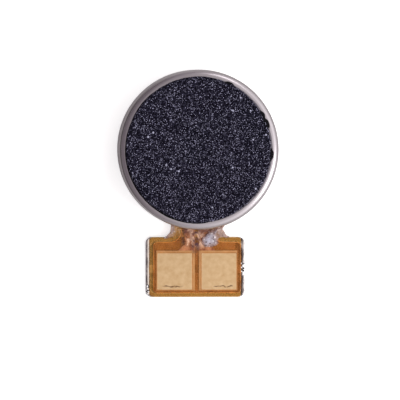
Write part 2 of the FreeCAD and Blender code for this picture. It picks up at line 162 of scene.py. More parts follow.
# %% Tent and lamps
tent = bpy.data.worlds.new("light_tent")
tent.use_nodes = True
scene.world = tent
sky = tent.node_tree
sky.nodes.clear()
towards = add(sky, "ShaderNodeTexCoord").outputs["Generated"]
bright_from = math.radians(-12)
bright_side = (math.cos(bright_from), math.sin(bright_from), 0)
facing = add(sky, "ShaderNodeVectorMath", {0: towards, 1: bright_side}, operation="DOT_PRODUCT")
share = add(sky, "ShaderNodeMapRange", {"Value": facing.outputs["Value"], "From Min": -1.0, "From Max": 1.0})
dim_to_bright = [
    (0.0, "#6E686D"),
    (0.22, "#736D72"),
    (0.34, "#8E898D"),
    (0.50, "#ABA7A9"),
    (0.67, "#CFCDCE"),
    (0.9, "#FFFFFF"),
]
walls = ramp(add(sky, "ShaderNodeValToRGB", {"Fac": share}), dim_to_bright)
to_camera = add(sky, "ShaderNodeLightPath").outputs["Is Camera Ray"]
seen = add(sky, "ShaderNodeMix", {"Factor": to_camera, "A": walls, "B": paint("#FFFFFF")}, data_type="RGBA")
glow = add(sky, "ShaderNodeBackground", {"Color": seen.outputs["Result"], "Strength": 2.1})
add(sky, "ShaderNodeOutputWorld", {"Surface": glow})


def softbox(name, place, size, brightness):
    """A square lamp that looks at the motor; brightness is what a mirror would show of it."""
    lamp = bpy.data.lights.new(name, "AREA")
    lamp.shape = "SQUARE"
    lamp.size = size * MM
    lamp.energy = brightness * math.pi * (size * MM) ** 2
    holder = bpy.data.objects.new(name, lamp)
    scene.collection.objects.link(holder)
    holder.location = Vector(place) * MM
    holder.rotation_euler = Vector(place).to_track_quat("Z", "Y").to_euler()
    holder.visible_camera = False


softbox("softbox_right", (320, -130, 200), 165, 8.5)
softbox("softbox_back", (150, 330, 200), 140, 3.8)

# %% [markdown]
# ## Helpers for shapes
#
# Thin sheets are cut from an outline: corners with a radius each, then a flat fill with its windows left
# open, then a lift to the sheet's thickness. Extra cuts across the neck let the sheet bend there. Every
# mesh is made in millimetres and becomes a piece in metres, with its object left at the origin.

# %% Helpers for pieces
def span(node):
    """A CAD node's lowest and highest corners, in millimetres."""
    low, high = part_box(node)
    return low / MM, high / MM


def finish_piece(name, mesh, materials, smooth_below=20):
    """Names a mesh made in millimetres, scales it to metres and gives it its materials."""
    piece = bpy.data.objects.new(name, mesh)
    mesh.name = name
    mesh.transform(Matrix.Scale(MM, 4))
    mesh.shade_smooth()
    mesh.set_sharp_from_angle(angle=math.radians(smooth_below))
    kinds = [face.material_index for face in mesh.polygons]
    mesh.materials.clear()
    for material in materials:
        mesh.materials.append(material)
    mesh.polygons.foreach_set("material_index", kinds)
    scene.collection.objects.link(piece)
    print(f"{name}: {len(mesh.polygons)} faces")
    return piece


def to_mesh(bm):
    """Ends an editable mesh as plain mesh data."""
    mesh = bpy.data.meshes.new("made")
    bm.to_mesh(mesh)
    bm.free()
    return mesh


def to_editable(mesh):
    """Plain mesh data as an editable mesh."""
    bm = bmesh.new()
    bm.from_mesh(mesh)
    return bm


print("the cover spans", *([round(v, 3) for v in corner] for corner in span("cover")))


# %% Helpers for outlines and sheets
def rounded(corners, steps=8):
    """An outline through corners given as (x, y, radius)."""
    outline = []
    for index, (x, y, radius) in enumerate(corners):
        corner = Vector((x, y))
        if radius == 0:
            outline.append(corner)
            continue
        before = (Vector(corners[index - 1][:2]) - corner).normalized()
        after = (Vector(corners[(index + 1) % len(corners)][:2]) - corner).normalized()
        half = before.angle(after) / 2
        centre = corner + (before + after).normalized() * radius / math.sin(half)
        first = corner + before * radius / math.tan(half) - centre
        last = corner + after * radius / math.tan(half) - centre
        turn = first.angle_signed(last)
        outline += [centre + Matrix.Rotation(-turn * k / steps, 2) @ first for k in range(steps + 1)]
    return outline


def rectangle(left, bottom, right, top, radius, steps):
    """A rounded rectangle, from its top left corner round by its bottom left one."""
    corners = [(left, top), (left, bottom), (right, bottom), (right, top)]
    return rounded([(x, y, radius) for x, y in corners], steps)


def soften_top(bm, top, offset, segments):
    """Rounds the edges round the top face of a sheet."""
    rim = [
        edge
        for edge in bm.edges
        if edge.is_manifold and min(v.co.z for v in edge.verts) > top - 1e-6 and edge.calc_face_angle(0) > 1.0
    ]
    bmesh.ops.bevel(bm, geom=rim, offset=offset, segments=segments, profile=0.5, affect="EDGES")


def sheet_from(loops, bottom, top, cuts=(), soften=0.0):
    """A flat sheet: the first loop is its outline, the others its windows. Its top edges are softened."""
    bm = bmesh.new()
    edges = []
    for loop in loops:
        corners = [bm.verts.new((x, y, bottom)) for x, y in loop]
        edges += [bm.edges.new(pair) for pair in zip(corners, corners[1:] + corners[:1])]
    bmesh.ops.triangle_fill(bm, edges=edges, use_beauty=True, use_dissolve=False, normal=(0, 0, 1))
    for y in cuts:
        everything = bm.verts[:] + bm.edges[:] + bm.faces[:]
        bmesh.ops.bisect_plane(bm, geom=everything, dist=1e-5, plane_co=(0, y, 0), plane_no=(0, 1, 0))
    lifted = bmesh.ops.extrude_face_region(bm, geom=bm.faces[:])["geom"]
    raised = [item for item in lifted if isinstance(item, bmesh.types.BMVert)]
    bmesh.ops.translate(bm, verts=raised, vec=(0, 0, top - bottom))
    bmesh.ops.recalc_face_normals(bm, faces=bm.faces[:])
    if soften:
        soften_top(bm, top, soften, segments=2)
    return bm


# %% Where the neck bends
neck_start, neck_end, bend_height = -5.0, -5.52, 0.29
neck_cuts = [neck_start + (neck_end - neck_start) * k / 8 for k in range(1, 8)]
tab_cuts = [neck_end - 0.25 * k for k in range(1, 15)]
print("neck cuts at y", [round(y, 3) for y in neck_cuts])

# %% [markdown]
# ## Geometry Nodes helpers
#
# A tree starts with named inputs, so one tree serves several pieces with other sizes. The tree runs on a
# seed mesh, and what comes out is copied as a plain mesh; the seed and its modifier are then removed.

# %% Helpers for Geometry Nodes
def new_tree(name, inputs):
    """A tree with a mesh in and out, and named inputs given as kind and usual value."""
    tree = bpy.data.node_groups.new(name, "GeometryNodeTree")
    tree.interface.new_socket("Geometry", in_out="INPUT", socket_type="NodeSocketGeometry")
    for label, (kind, value) in inputs.items():
        socket = tree.interface.new_socket(label, in_out="INPUT", socket_type="NodeSocket" + kind)
        if value is not None:
            socket.default_value = value
    tree.interface.new_socket("Geometry", in_out="OUTPUT", socket_type="NodeSocketGeometry")
    return tree, add(tree, "NodeGroupInput").outputs


def close_tree(tree, geometry, material):
    """Ends a tree in real meshes with their material."""
    real = add(tree, "GeometryNodeRealizeInstances", {"Geometry": geometry})
    coated = add(tree, "GeometryNodeSetMaterial", {"Geometry": real, "Material": material})
    add(tree, "NodeGroupOutput", {0: coated})
    print(f"{tree.name}: {len(tree.nodes)} nodes")


def as_plain_mesh(holder):
    """What a seed object's modifier makes of it, as mesh data. The seed and the modifier are removed."""
    made = bpy.data.meshes.new_from_object(holder.evaluated_get(bpy.context.evaluated_depsgraph_get()))
    holder.modifiers.clear()
    bpy.data.objects.remove(holder)
    return made


def grow(tree, seed_mesh, **values):
    """Runs a tree on a seed mesh and returns the plain mesh that it makes."""
    seed = bpy.data.objects.new("seed", seed_mesh)
    scene.collection.objects.link(seed)
    modifier = seed.modifiers.new("grow", "NODES")
    modifier.node_group = tree
    identifiers = {item.name: item.identifier for item in tree.interface.items_tree if item.in_out == "INPUT"}
    for label, value in values.items():
        modifier[identifiers[label.replace("_", " ")]] = value
    return as_plain_mesh(seed)


print("one add function, one tree starter, one runner")

# %% [markdown]
# ## How each finish is built
#
# Almost every real surface here is one base colour that wanders a little between a darker and a lighter
# tone, a roughness that wanders with it, and a fine relief. One function sets that up from real sizes:
# grain is the pattern's size in millimetres, stretch draws it out along an axis as rolling or grinding
# does, and around=True lays it along circles about the motor's axis, as drawing and turning do.
# Marks come on top of that, as they do on the real part: lines, stains, chips and dust, each a colour
# laid over the finish where one or more shares say so.

# %% Base of a finish
def finish(
    name, dark, light, grain, rough, relief, metallic=0.0, stretch=(1, 1, 1), around=False, detail=4.0
):
    """A material with a mottled colour, roughness and relief. Returns it, its tree, shader and place."""
    made = bpy.data.materials.new(name)
    made.use_nodes = True
    tree = made.node_tree
    shader = tree.nodes["Principled BSDF"]
    where = add(tree, "ShaderNodeTexCoord").outputs["Object"]
    place = add(tree, "ShaderNodeVectorMath", {0: where, "Scale": 1 / MM}, operation="SCALE")
    spread = place
    if around:
        axes = add(tree, "ShaderNodeSeparateXYZ", {0: place}).outputs
        angle = add(tree, "ShaderNodeMath", {0: axes["Y"], 1: axes["X"]}, operation="ARCTAN2")
        flat = add(tree, "ShaderNodeCombineXYZ", {0: axes["X"], 1: axes["Y"]})
        radius = add(tree, "ShaderNodeVectorMath", {0: flat}, operation="LENGTH").outputs["Value"]
        spread = add(tree, "ShaderNodeCombineXYZ", {0: angle, 1: radius, 2: axes["Z"]})
    spread = add(tree, "ShaderNodeMapping", {"Vector": spread, "Scale": stretch})
    pattern = {"Vector": spread, "Scale": 1 / grain, "Detail": detail, "Roughness": 0.6}
    mottle = add(tree, "ShaderNodeTexNoise", pattern).outputs["Fac"]
    tone = ramp(add(tree, "ShaderNodeValToRGB", {"Fac": mottle}), [(0.3, dark), (0.7, light)])
    spans = {"From Min": 0.3, "From Max": 0.7, "To Min": rough[0], "To Max": rough[1]}
    sheen = add(tree, "ShaderNodeMapRange", {"Value": mottle, **spans})
    bumps = add(tree, "ShaderNodeBump", {"Height": mottle, "Strength": 0.6, "Distance": relief * MM})
    tree.links.new(tone, shader.inputs["Base Color"])
    tree.links.new(sheen.outputs[0], shader.inputs["Roughness"])
    tree.links.new(bumps.outputs[0], shader.inputs["Normal"])
    shader.inputs["Metallic"].default_value = metallic
    return made, tree, shader, place


def see_through(tree, shader, tint, share):
    """Lets a share of the light pass straight through a finish, coloured by tint at each face."""
    passing = add(tree, "ShaderNodeBsdfTransparent", {"Color": paint(tint)})
    mixed = add(tree, "ShaderNodeMixShader", {0: share, 1: shader, 2: passing})
    tree.links.new(mixed.outputs[0], tree.nodes["Material Output"].inputs["Surface"])


# %% Marks on a finish
def lay_over(tree, shader, colour, share, *others):
    """Lays a colour over a finish, as strongly at each spot as the product of the shares, and returns that."""
    for other in others:
        share = add(tree, "ShaderNodeMath", {0: share, 1: other}, operation="MULTIPLY")
    under = shader.inputs["Base Color"].links[0].from_socket
    tones = {"Factor": share, "A": under, "B": paint(colour)}
    laid = add(tree, "ShaderNodeMix", tones, data_type="RGBA").outputs["Result"]
    tree.links.new(laid, shader.inputs["Base Color"])
    return share


def stripe(tree, value, middle, half, fade, strength=1.0):
    """A share that is full where value lies within half of the middle, and fades out beyond that."""
    off = add(tree, "ShaderNodeMath", {0: value, 1: -middle}, operation="ADD")
    away = add(tree, "ShaderNodeMath", {0: off}, operation="ABSOLUTE")
    spans = {"From Min": half, "From Max": half + fade, "To Min": strength, "To Max": 0.0}
    return add(tree, "ShaderNodeMapRange", {"Value": away, **spans})


def distance_to(tree, place, x, y):
    """How far each spot lies from a point of the plan, in millimetres."""
    flat = add(tree, "ShaderNodeVectorMath", {0: place, 1: (1, 1, 0)}, operation="MULTIPLY")
    gap = add(tree, "ShaderNodeVectorMath", {0: flat, 1: (x, y, 0)}, operation="DISTANCE")
    return gap.outputs["Value"]


print("finish helpers: finish, see_through, lay_over, stripe, distance_to")

# %% [markdown]
# ## Metals
#
# The can is deep-drawn stainless steel: pulled through a die, it keeps faint lines that run round it,
# and a satin shine that smears what it mirrors. One dark ring is painted on the left of its shoulder as
# a painted reflection, and fades out towards the right. Metals keep the default IOR.

# %% Can and shaft
can_steel, tree, shader, place = finish(
    "satin_stainless_steel", "#968F93", "#ABA5A8", 0.9, (0.26, 0.38), 0.004, 1.0, (0.9, 7.0, 7.0), True
)
axes = add(tree, "ShaderNodeSeparateXYZ", {0: place}).outputs
# A dark ring on the left of the shoulder, painted in as a reflection.
painted_reflection_ring = stripe(tree, axes["Z"], middle=2.82, half=0.02, fade=0.05, strength=0.85)
left_side = add(tree, "ShaderNodeMapRange", {"Value": axes["X"], "From Min": -1.5, "From Max": -4.3})
lay_over(tree, shader, "#3A3538", painted_reflection_ring, left_side)
shaft_steel = finish("ground_steel", "#A9A8A8", "#D5D4D2", 0.3, (0.16, 0.26), 0.001, 1.0, (1, 9, 9), True)[0]
print("steel of can and shaft made")

# %% [markdown]
# ## Rolled strip
#
# The stiffener is cut from rolled strip, so its lines are straight. It is a little wider than the film,
# and only those two narrow margins show its mottle, strongly dark and light. A pale line of painted
# highlight runs along the left one and a dark line of painted reflection along the right one, and each
# has one patch of painted glints with dark specks. The specks are drawn 0.075 mm wide, which is coarser
# than real, so that they show.

# %% Stiffener strip
strip_steel, tree, shader, place = finish(
    "rolled_stainless_strip", "#383134", "#CEC6C2", 0.32, (0.16, 0.36), 0.014, 1.0, (2.2, 0.6, 2.2)
)
across = add(tree, "ShaderNodeSeparateXYZ", {0: place}).outputs["X"]
film_middle = -0.10
covered = stripe(tree, across, film_middle, half=2.85, fade=0.05)
bare = add(tree, "ShaderNodeMath", {0: 1.0, 1: covered}, operation="SUBTRACT")
lay_over(tree, shader, "#B4ABA6", covered)
patchy = add(tree, "ShaderNodeTexNoise", {"Vector": place, "Scale": 1.6, "Detail": 5.0})
patch = add(tree, "ShaderNodeMapRange", {"Value": patchy, "From Min": 0.36, "From Max": 0.52})
# Pale line on the left: painted highlight. Dark line on the right: painted reflection.
for middle, half, colour in ((-3.05, 0.026, "#FFF3E2"), (2.835, 0.05, "#2E2426")):
    lay_over(tree, shader, colour, stripe(tree, across, middle, half * 0.6, half * 0.8), patch)
# White specks are painted glints, with dark specks among them, in one patch on each margin.
glints_and_specks = add(tree, "ShaderNodeTexVoronoi", {"Vector": place, "Scale": 1 / 0.075, "Randomness": 1.0})
lot = add(tree, "ShaderNodeSeparateColor", {"Color": glints_and_specks.outputs["Color"]}).outputs
for x, y, width in ((2.9, -7.55, 0.42), (-3.1, -9.0, 0.50)):
    gap = distance_to(tree, place, x, y)
    speck_patch = add(tree, "ShaderNodeMath", {0: gap, 1: width}, operation="LESS_THAN")
    for channel, limit, colour in (("Green", 0.55, "#2A2426"), ("Red", 0.68, "#FFFFFF")):
        picked = add(tree, "ShaderNodeMath", {0: lot[channel], 1: limit}, operation="GREATER_THAN")
        lay_over(tree, shader, colour, picked, speck_patch, bare)
print("strip steel:", len(tree.nodes), "nodes")

# %% [markdown]
# ## Gold pads
#
# The pads are copper plated with nickel and a very thin soft gold, which looks matte and sandy because
# the copper under it was etched rough. A test socket's pins slide when they press on the pads, and leave
# a short grey-brown scuff across each: a wandering line, with gaps, at the same height on both.

# %% Gold with probe scuffs
gold, tree, shader, place = finish(
    "matte_gold_on_nickel", "#C4A276", "#D6BA92", 0.35, (0.50, 0.60), 0.002, 1.0, detail=6.0
)
axes = add(tree, "ShaderNodeSeparateXYZ", {0: place}).outputs
wander = add(tree, "ShaderNodeTexNoise", {"Vector": place, "Scale": 2.6, "Detail": 4.0})
line_y = add(tree, "ShaderNodeMath", {0: wander, 1: 0.30, 2: -8.76}, operation="MULTIPLY_ADD")
off_line = add(tree, "ShaderNodeMath", {0: axes["Y"], 1: line_y}, operation="SUBTRACT")
shifted = add(tree, "ShaderNodeMath", {0: axes["X"], 1: -0.10}, operation="ADD")
from_middle = add(tree, "ShaderNodeMath", {0: shifted}, operation="ABSOLUTE")
skips = add(tree, "ShaderNodeTexNoise", {"Vector": place, "Scale": 5.0, "Detail": 4.0})
broken = add(tree, "ShaderNodeMapRange", {"Value": skips, "From Min": 0.34, "From Max": 0.50})
on_line = stripe(tree, off_line, middle=0.0, half=0.012, fade=0.043)
reach = stripe(tree, from_middle, middle=1.62, half=0.54, fade=0.16)
lay_over(tree, shader, "#745840", reach, broken, on_line)
print("gold:", len(tree.nodes), "nodes")

# %% [markdown]
# ## The circuit's layers
#
# Polyimide is the amber film that stands soldering heat. It is clear enough for what lies under it to
# show, so the circuit's colour comes from its layers: film and coverlay each let most of the light
# through and tint it, and the copper or the adhesive under them sends it back. Where the coverlay ends,
# the bare film is one layer thinner and looks golden instead of brown. Beside the can nothing lies under
# the film; it is made to let less through there, which darkens it as painted shade. Its left edge has a
# dark line of painted shadow, and two corners are bruised.

# %% Film
film, tree, shader, place = finish(
    "amber_polyimide_film", "#B48C3C", "#D0A852", 0.8, (0.16, 0.30), 0.004, detail=5.0
)
axes = add(tree, "ShaderNodeSeparateXYZ", {0: place}).outputs
# Less see-through beside the can, so the film is darker there: painted shade.
film_shade_span = {"From Min": -5.62, "From Max": -5.46, "To Min": 0.86, "To Max": 0.34}
clearness = add(tree, "ShaderNodeMapRange", {"Value": axes["Y"], **film_shade_span})
see_through(tree, shader, "#FBE9C9", clearness)
# A dark line along the film's left edge: painted shadow.
edge_shadow_span = {"From Min": -2.975, "From Max": -2.945, "To Min": 0.85, "To Max": 0.0}
lay_over(tree, shader, "#3E2410", add(tree, "ShaderNodeMapRange", {"Value": axes["X"], **edge_shadow_span}))
crumbs = add(tree, "ShaderNodeTexNoise", {"Vector": place, "Scale": 7.0, "Detail": 4.0})
for x, y, width in ((-2.95, -9.25, 0.55), (-2.98, -5.56, 0.22)):
    gap = distance_to(tree, place, x, y)
    ragged = add(tree, "ShaderNodeMath", {0: crumbs, 1: width * 1.6, 2: gap}, operation="MULTIPLY_ADD")
    spans = {"From Min": width * 1.1, "From Max": width * 1.3, "To Min": 0.8, "To Max": 0.0}
    lay_over(tree, shader, "#4A3A30", add(tree, "ShaderNodeMapRange", {"Value": ragged, **spans}))
print("film:", len(tree.nodes), "nodes")

# %% [markdown]
# ## Coverlay
#
# The coverlay's brown comes from the adhesive under it. Soldering has left its marks on it: pale pools
# and burnt spots of flux in the neck, and a purple-brown stain between the pads. The same purple-brown is
# laid beside the can as painted shade. A mark hides what lies under it, so the coverlay lets less light
# through wherever it has one.

# %% Coverlay
coverlay, tree, shader, place = finish(
    "amber_coverlay", "#935426", "#D2904E", 0.5, (0.22, 0.38), 0.006, detail=6.0
)
axes = add(tree, "ShaderNodeSeparateXYZ", {0: place}).outputs
in_neck = add(tree, "ShaderNodeMapRange", {"Value": axes["Y"], "From Min": -6.35, "From Max": -6.0})
mid_neck = stripe(tree, axes["X"], middle=0.0, half=0.85, fade=0.20)
flow = add(tree, "ShaderNodeMapping", {"Vector": place, "Scale": (3.4, 1.7, 2.0)})
pooled = add(tree, "ShaderNodeTexNoise", {"Vector": flow, "Scale": 1.0, "Detail": 6.0, "Roughness": 0.65})
to_right = {"From Min": -0.85, "From Max": -0.55, "To Min": -0.13, "To Max": 0.05}
lean = add(tree, "ShaderNodeMapRange", {"Value": axes["X"], **to_right})
pool = add(tree, "ShaderNodeMath", {0: pooled, 1: lean}, operation="ADD")
flux = add(tree, "ShaderNodeMapRange", {"Value": pool, "From Min": 0.50, "From Max": 0.58})
low_pool = {"From Min": 0.34, "From Max": 0.46, "To Min": 1.0, "To Max": 0.0}
burnt = add(tree, "ShaderNodeMapRange", {"Value": pool, **low_pool})
pale_marks = lay_over(tree, shader, "#ECBE9E", in_neck, mid_neck, flux)
dark_marks = lay_over(tree, shader, "#4A2010", in_neck, mid_neck, burnt)
print("coverlay with flux:", len(tree.nodes), "nodes")

# %% Stain and painted shade on the coverlay
in_gap = stripe(tree, axes["X"], film_middle, half=0.14, fade=0.28)
up_neck = add(tree, "ShaderNodeMapRange", {"Value": axes["Y"], "From Min": -6.9, "From Max": -6.0})
between = add(tree, "ShaderNodeMath", {0: in_gap, 1: up_neck}, operation="MULTIPLY")
# Beside the can the same purple-brown is laid on as painted shade.
can_shade_span = {"From Min": -5.48, "From Max": -5.20, "To Min": 0.0, "To Max": 0.8}
can_shade_share = add(tree, "ShaderNodeMapRange", {"Value": axes["Y"], **can_shade_span})
reach = add(tree, "ShaderNodeMath", {0: between, 1: can_shade_share}, operation="MAXIMUM")
blotch = add(tree, "ShaderNodeTexNoise", {"Vector": place, "Scale": 3.4, "Detail": 5.0})
blotch = add(tree, "ShaderNodeMapRange", {"Value": blotch, "From Min": 0.38, "From Max": 0.54})
marks = lay_over(tree, shader, "#4C2232", reach, blotch)
for others in (pale_marks, dark_marks):
    marks = add(tree, "ShaderNodeMath", {0: marks, 1: others}, operation="MAXIMUM")
clearness = add(tree, "ShaderNodeMath", {0: marks, 1: -0.68, 2: 0.86}, operation="MULTIPLY_ADD")
see_through(tree, shader, "#FBECDD", clearness)
print("coverlay:", len(tree.nodes), "nodes")

# %% Bead, copper and bond
# The bead of adhesive is painted brighter where it runs round the flares of the neck: a painted highlight.
squeeze_out, tree, shader, place = finish(
    "coverlay_adhesive_bead", "#A0662C", "#F2AC56", 0.9, (0.10, 0.25), 0.004
)
see_through(tree, shader, "#FFE6BE", 0.35)
along = add(tree, "ShaderNodeSeparateXYZ", {0: place}).outputs["Y"]
# Lighter colour at the flares: painted highlight.
flare_highlight_span = {"From Min": -6.05, "From Max": -5.80, "To Min": 0.0, "To Max": 0.9}
lay_over(tree, shader, "#FFC070", add(tree, "ShaderNodeMapRange", {"Value": along, **flare_highlight_span}))
copper = finish(
    "rolled_copper", "#7A4440", "#E4B496", 0.26, (0.30, 0.50), 0.008, 1.0, (1.2, 0.6, 1), detail=6.0
)[0]
bond = finish("acrylic_bond_over_steel", "#B8ADA0", "#D6CDC0", 0.45, (0.35, 0.6), 0.004, detail=6.0)[0]
print("circuit finishes made")

# %% [markdown]
# ## Glue
#
# The glue is a clear adhesive that cured cloudy: full of tiny bubbles and dust, so it passes some light,
# scatters the rest blue-grey, and shines where its skin is smooth. Where it is thin, the film's brown
# comes through, and where it is a thick drop it turns a milky blue. The foot of the left bead lies on
# the film, is clear there and takes its amber. The specks are drawn 0.12 mm apart so that they show.

# %% Glue by thickness
glue, tree, shader, place = finish(
    "cloudy_clear_adhesive", "#7C6C72", "#E6E2EC", 0.15, (0.08, 0.34), 0.03, detail=6.0
)
shader.inputs["Coat Weight"].default_value = 0.4
axes = add(tree, "ShaderNodeSeparateXYZ", {0: place}).outputs
cloud = shader.inputs["Base Color"].links[0].from_socket
thick = add(tree, "ShaderNodeMapRange", {"Value": axes["Z"], "From Min": 0.42, "From Max": 0.51})
body = {"Factor": thick}
for socket, strength, colour in (("A", 0.7, "#9C7460"), ("B", 0.55, "#B4B6CA")):
    tones = {"Factor": strength, "A": cloud, "B": paint(colour)}
    body[socket] = add(tree, "ShaderNodeMix", tones, data_type="RGBA").outputs["Result"]
body = add(tree, "ShaderNodeMix", body, data_type="RGBA").outputs["Result"]
tree.links.new(body, shader.inputs["Base Color"])
haze = add(tree, "ShaderNodeTexNoise", {"Vector": place, "Scale": 3.2, "Detail": 4.0})
spans = {"From Min": 0.42, "From Max": 0.62, "To Min": 0.35, "To Max": 0.75}
haze = add(tree, "ShaderNodeMapRange", {"Value": haze, **spans})
thin = add(tree, "ShaderNodeMath", {0: thick, 1: -0.75, 2: 1.0}, operation="MULTIPLY_ADD")
clearness = add(tree, "ShaderNodeMath", {0: thin, 1: haze}, operation="MULTIPLY")
see_through(tree, shader, "#F4E4DA", clearness)
print("glue by thickness:", len(tree.nodes), "nodes")

# %% Glue's amber foot and its dust
foot_edge = {"From Min": -5.52, "From Max": -5.15, "To Min": -1.85, "To Max": -1.45}
foot_edge = add(tree, "ShaderNodeMapRange", {"Value": axes["Y"], **foot_edge})
past = add(tree, "ShaderNodeMath", {0: axes["X"], 1: foot_edge}, operation="SUBTRACT")
foot = add(tree, "ShaderNodeMapRange", {"Value": past, "From Min": -0.06, "From Max": 0.08})
left = add(tree, "ShaderNodeMath", {0: axes["X"], 1: 0.0}, operation="LESS_THAN")
foot = lay_over(tree, shader, "#AE7C3C", foot, left)
off_foot = add(tree, "ShaderNodeMath", {0: foot, 1: -0.8, 2: 1.0}, operation="MULTIPLY_ADD")
dust = add(tree, "ShaderNodeTexVoronoi", {"Vector": place, "Scale": 1 / 0.12, "Randomness": 1.0})
lot = add(tree, "ShaderNodeSeparateColor", {"Color": dust.outputs["Color"]}).outputs
spans = {"From Min": 0.30, "From Max": 0.50, "To Min": 0.9, "To Max": 0.0}
core = add(tree, "ShaderNodeMapRange", {"Value": dust.outputs["Distance"], **spans})
for channel, limit, colour in (("Red", 0.66, "#33201E"), ("Green", 0.80, "#FFFCFE")):
    picked = add(tree, "ShaderNodeMath", {0: lot[channel], 1: limit}, operation="GREATER_THAN")
    lay_over(tree, shader, colour, picked, core, off_foot)
print("glue:", len(tree.nodes), "nodes")

# %% [markdown]
# ## Foam and tape
#
# The foam is fine-celled polyurethane with carbon black: matte and nearly black, with cut cell walls
# that catch light, painted into its colour as pale specks. A real wall is about 0.01 mm thick; its specks
# are drawn 0.034 mm apart so that they show as a fine grain, with a few brighter painted glints far apart.
# The tape under the foam is black acrylic. Where its rim shows on the right, it is painted grey as light
# falling on that side, but for three spots that stay black.

# %% Foam
foam_skin, tree, shader, place = finish(
    "charcoal_microcell_foam", "#07060D", "#1C1A28", 0.06, (0.85, 1.0), 0.006, detail=2.0
)
# Pale specks of the cut cell walls: painted highlights in the colour.
walls = add(tree, "ShaderNodeTexVoronoi", {"Vector": place, "Scale": 1 / 0.034, "Randomness": 1.0})
wall = add(tree, "ShaderNodeSeparateColor", {"Color": walls.outputs["Color"]}).outputs["Red"]
wall_tone = ramp(
    add(tree, "ShaderNodeValToRGB", {"Fac": wall}),
    [(0.0, "#000002"), (0.40, "#06050B"), (0.7, "#181722"), (0.90, "#3A384A"), (1.0, "#B2B0CA")],
)
carbon = shader.inputs["Base Color"].links[0].from_socket
tones = {"Factor": 0.85, "A": carbon, "B": wall_tone}
mottled = add(tree, "ShaderNodeMix", tones, data_type="RGBA").outputs["Result"]
tree.links.new(mottled, shader.inputs["Base Color"])
cells = add(tree, "ShaderNodeTexVoronoi", {"Vector": place, "Scale": 1 / 0.16, "Randomness": 1.0})
lot = add(tree, "ShaderNodeSeparateColor", {"Color": cells.outputs["Color"]}).outputs
# A few rare cells carry bright painted glints.
rare = add(tree, "ShaderNodeMath", {0: lot["Red"], 1: 0.99}, operation="GREATER_THAN")
spans = {"From Min": 0.25, "From Max": 0.45, "To Min": 1.0, "To Max": 0.0}
core = add(tree, "ShaderNodeMapRange", {"Value": cells.outputs["Distance"], **spans})
lay_over(tree, shader, "#A8A8BC", rare, core)
shader.inputs["Specular IOR Level"].default_value = 0.03
print("foam:", len(tree.nodes), "nodes")

# %% Tape
tape, tree, shader, place = finish("black_acrylic_tape", "#050407", "#0D0C10", 0.3, (0.6, 0.8), 0.004)
shader.inputs["Specular IOR Level"].default_value = 0.1
across = add(tree, "ShaderNodeSeparateXYZ", {0: place}).outputs["X"]
# Grey on the right side of the rim is painted light; three spots stay black.
lit_grey_shares = [add(tree, "ShaderNodeMapRange", {"Value": across, "From Min": 0.6, "From Max": 1.6})]
for degrees, width in ((25, 0.56), (-4, 0.36), (65, 0.30)):
    angle = math.radians(degrees)
    gap = distance_to(tree, place, 4.5 * math.cos(angle), 4.5 * math.sin(angle))
    lit_grey_shares.append(add(tree, "ShaderNodeMapRange", {"Value": gap, "From Min": width, "From Max": width + 0.1}))
lay_over(tree, shader, "#6A656C", *lit_grey_shares)
print("tape:", len(tree.nodes), "nodes")

# %% [markdown]
# ## What is inside the can
#
# Nobody sees these until the cover is lifted in the model, but each still has its own real finish:
# nickel-plated magnet, sintered bronze bush with oil in its pores, glass-epoxy board, tin solder,
# enamelled copper wire, black moulded resin, pressed tungsten, and silver-palladium brushes.

# %% Inner finishes
nylon = finish("white_nylon", "#D8D2C4", "#EFEBE0", 0.3, (0.40, 0.55), 0.002)[0]
nickel = finish("nickel_plated_magnet", "#A8A49C", "#C9C5BB", 0.5, (0.18, 0.30), 0.003, 1.0)[0]
bronze = finish("sintered_bronze", "#6E5230", "#A37E4E", 0.06, (0.35, 0.60), 0.01, 1.0, detail=6.0)[0]
board = finish("glass_epoxy_board", "#1F4A35", "#2F6B4A", 0.12, (0.30, 0.45), 0.004, stretch=(1, 0.3, 1))[0]
solder = finish("tin_solder", "#A9AAAC", "#D4D5D6", 0.10, (0.20, 0.40), 0.006, 1.0)[0]
wire, tree, shader, place = finish("enamelled_copper_wire", "#9A4A20", "#C86E34", 0.2, (0.15, 0.28), 0.002)
shader.inputs["Coat Weight"].default_value = 0.6
resin = finish("black_moulded_resin", "#141416", "#26262A", 0.15, (0.40, 0.60), 0.004)[0]
tungsten = finish("pressed_tungsten_alloy", "#5C5A58", "#858280", 0.08, (0.35, 0.55), 0.006, 1.0)[0]
brush_metal = finish("silver_palladium_leaf", "#B4A88A", "#D8CDB0", 0.15, (0.2, 0.35), 0.002, 1.0)[0]
print(len([m for m in bpy.data.materials if m.use_nodes]), "finishes so far")

# %% [markdown]
# ## Turned pieces
#
# The can, shaft, magnet, bush and washers are all a profile turned round one axis. They could be spun
# one by one, but a single Geometry Nodes tree follows the same rule for all of them: a grid whose rows
# take their height and radius from the profile, and whose columns are turned round the axis. The can
# needs one thing more, a notch where the circuit leaves: inside it, no point lies below its top.

